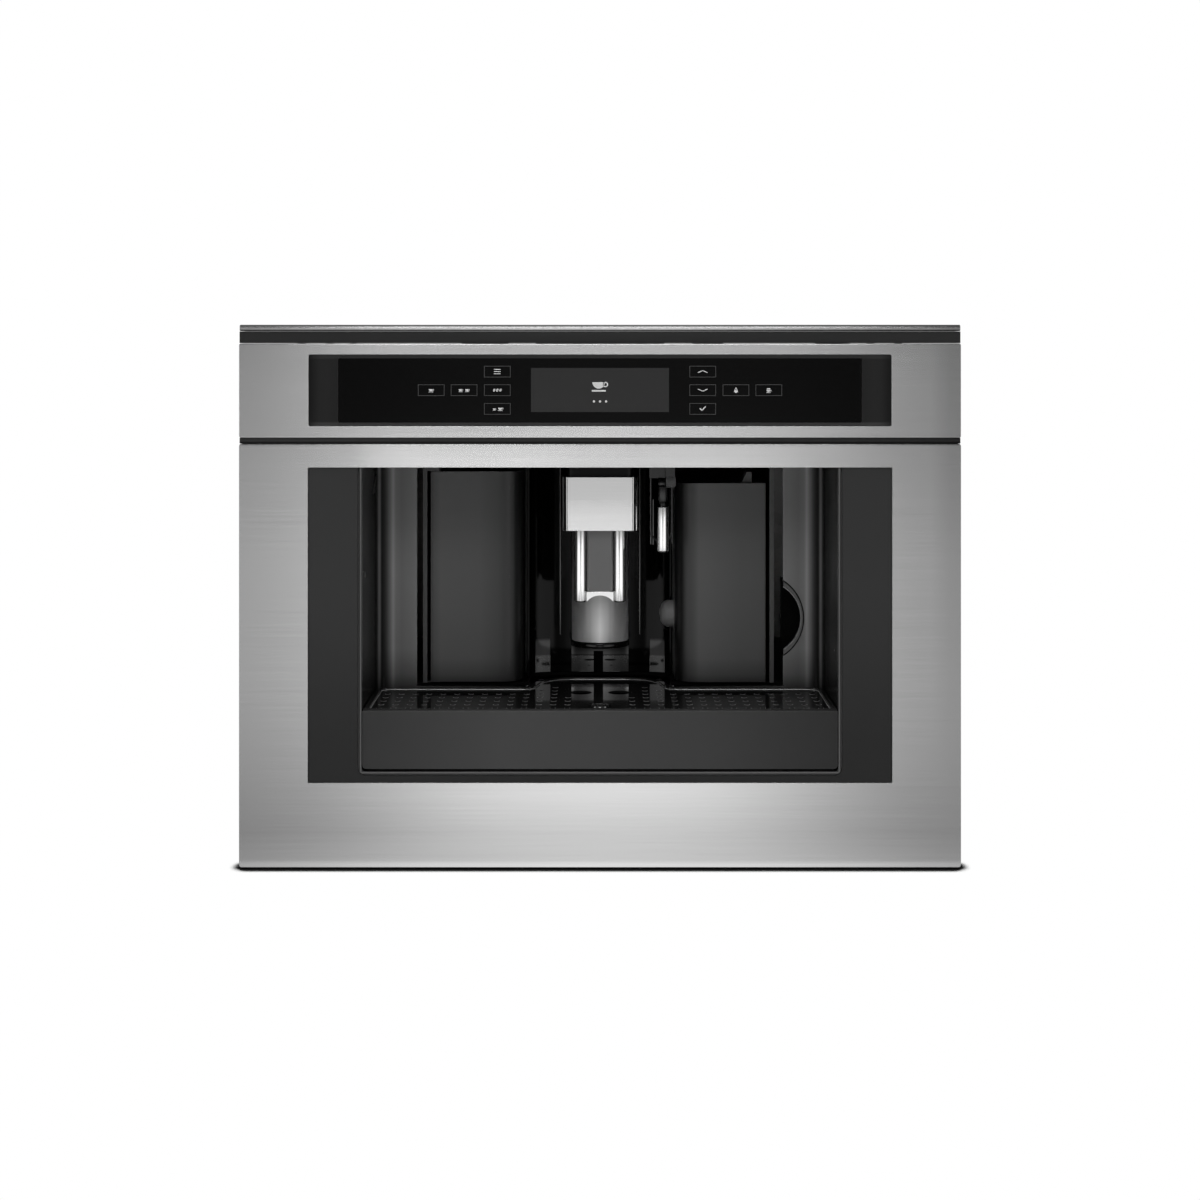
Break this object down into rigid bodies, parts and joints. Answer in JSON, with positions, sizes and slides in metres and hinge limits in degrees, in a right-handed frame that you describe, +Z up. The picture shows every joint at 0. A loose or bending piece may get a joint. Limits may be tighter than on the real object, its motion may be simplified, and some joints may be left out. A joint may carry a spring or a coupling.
{
  "type": "built-in coffee machine",
  "caption": "Built-in coffee machine with a brushed-steel front, a niche with spouts and a perforated drip tray, a side tank, and slides that let it pull out of the cabinet.",
  "frame": {"origin": "middle of the bounding box, at the height of the lower front's bottom edge", "axes": "+X right as seen from the front, +Y into the cabinet, +Z up; the front faces -Y"},
  "size_m": [0.595, 0.4, 0.4486],
  "materials": {
    "brushed_steel": "horizontally brushed",
    "polished_steel": "polished",
    "satin_grey": "satin",
    "mid_grey": "satin",
    "gloss_black": "gloss",
    "matte_black": "fine matte",
    "dark_plate": "satin",
    "smoked": "smoked",
    "zinc_sheet": "zinc coated",
    "cast": "as cast",
    "circuit": "solder mask",
    "column_grey": "satin",
    "window_glass": "black glass"
  },
  "bodies": {
    "cabinet_rails": {"mount_rail_right": "zinc_sheet", "mount_rail_left": "zinc_sheet", "rear_tie_bar": "zinc_sheet"},
    "machine": {"inner_rail_right": "zinc_sheet", "inner_rail_left": "zinc_sheet", "base_pan": "zinc_sheet", "casing_wrap": "zinc_sheet", "top_cover": "zinc_sheet", "front_frame": "zinc_sheet", "tray_channel": "zinc_sheet", "lower_fascia": "brushed_steel", "control_panel": "brushed_steel", "top_ledge": "brushed_steel", "head_face": "brushed_steel", "head_shell": "polished_steel", "mid_shelf": "matte_black", "top_band": "matte_black", "brew_group": "matte_black", "grinder": "matte_black", "powder_chute": "matte_black", "switch_bezel": "matte_black", "water_pump": "matte_black", "power_inlet": "matte_black", "window_frame": "satin_grey", "niche_rim": "satin_grey", "tank_bay": "satin_grey", "brew_bay": "satin_grey", "tank_grip": "satin_grey", "nozzle_bracket": "satin_grey", "niche_liner": "gloss_black", "recess_wall": "gloss_black", "niche_bezel": "dark_plate", "bean_hopper": "smoked", "thermoblock": "cast", "control_board": "circuit", "column": "column_grey", "window_glass": "window_glass"},
    "slide_middles": {"mid_rail_right": "zinc_sheet", "mid_rail_left": "zinc_sheet"},
    "door": {"service_door": "satin_grey"},
    "tank": {"tank_front": "satin_grey", "water_tank": "smoked", "tank_lid": "satin_grey"},
    "tray": {"drip_tray": "matte_black", "tray_front": "matte_black", "drip_grate": "gloss_black", "grounds_container": "satin_grey"},
    "float": {"tray_float": "gloss_black"},
    "spout": {"spout_carrier": "mid_grey", "spout_tube_left": "polished_steel", "spout_tube_right": "polished_steel", "spout_bridge": "polished_steel"},
    "nozzle": {"steam_nozzle": "polished_steel"},
    "hopper_lid": {"hopper_lid": "smoked"},
    "chute_lid": {"chute_lid": "satin_grey"},
    "dial": {"grind_dial": "satin_grey"},
    "switch": {"main_switch": "matte_black"},
    "burr": {"burr_cone": "cast"},
    "piston": {"brew_piston": "mid_grey"}
  },
  "joints": [
    {"name": "machine_slide", "type": "slide", "parent": "cabinet_rails", "child": "machine", "axis": [0, -1, 0], "range_m": [0, 0.25]},
    {"name": "middle_slide", "type": "slide", "parent": "cabinet_rails", "child": "slide_middles", "axis": [0, -1, 0], "range_m": [0, 0.125]},
    {"name": "door_hinge", "type": "hinge", "parent": "machine", "child": "door", "pos_m": [-0.1445, -0.0855, 0.228], "axis": [0, 0, -1], "range_deg": [0, 100]},
    {"name": "tank_slide", "type": "slide", "parent": "machine", "child": "tank", "axis": [0, -1, 0], "range_m": [0, 0.2]},
    {"name": "tray_slide", "type": "slide", "parent": "machine", "child": "tray", "axis": [0, -1, 0], "range_m": [0, 0.17]},
    {"name": "float_rise", "type": "slide", "parent": "tray", "child": "float", "axis": [0, 0, 1], "range_m": [0, 0.007]},
    {"name": "spout_lift", "type": "slide", "parent": "machine", "child": "spout", "axis": [0, 0, 1], "range_m": [0, 0.034]},
    {"name": "nozzle_swing", "type": "hinge", "parent": "machine", "child": "nozzle", "pos_m": [0.0545, -0.115, 0.3125], "axis": [-1, 0, 0], "range_deg": [0, 35]},
    {"name": "hopper_lid_hinge", "type": "hinge", "parent": "machine", "child": "hopper_lid", "pos_m": [0, 0.142, 0.4373], "axis": [-1, 0, 0], "range_deg": [0, 100]},
    {"name": "chute_lid_hinge", "type": "hinge", "parent": "machine", "child": "chute_lid", "pos_m": [-0.10825, 0.058, 0.4369], "axis": [-1, 0, 0], "range_deg": [0, 100]},
    {"name": "dial_turn", "type": "hinge", "parent": "machine", "child": "dial", "pos_m": [0.104, 0.075, 0.437], "axis": [0, 0, 1], "range_deg": [-150, 150]},
    {"name": "switch_rock", "type": "hinge", "parent": "machine", "child": "switch", "pos_m": [0.2, -0.12, 0.4305], "axis": [-1, 0, 0], "range_deg": [0, 12]},
    {"name": "burr_spin", "type": "hinge", "parent": "machine", "child": "burr", "pos_m": [0, 0.075, 0.35], "axis": [0, 0, 1], "continuous": true},
    {"name": "piston_rise", "type": "slide", "parent": "machine", "child": "piston", "axis": [0, 0, 1], "range_m": [0, 0.03]}
  ],
  "couplings": [
    {"joint": "middle_slide", "follows": "machine_slide", "ratio": 0.5}
  ]
}
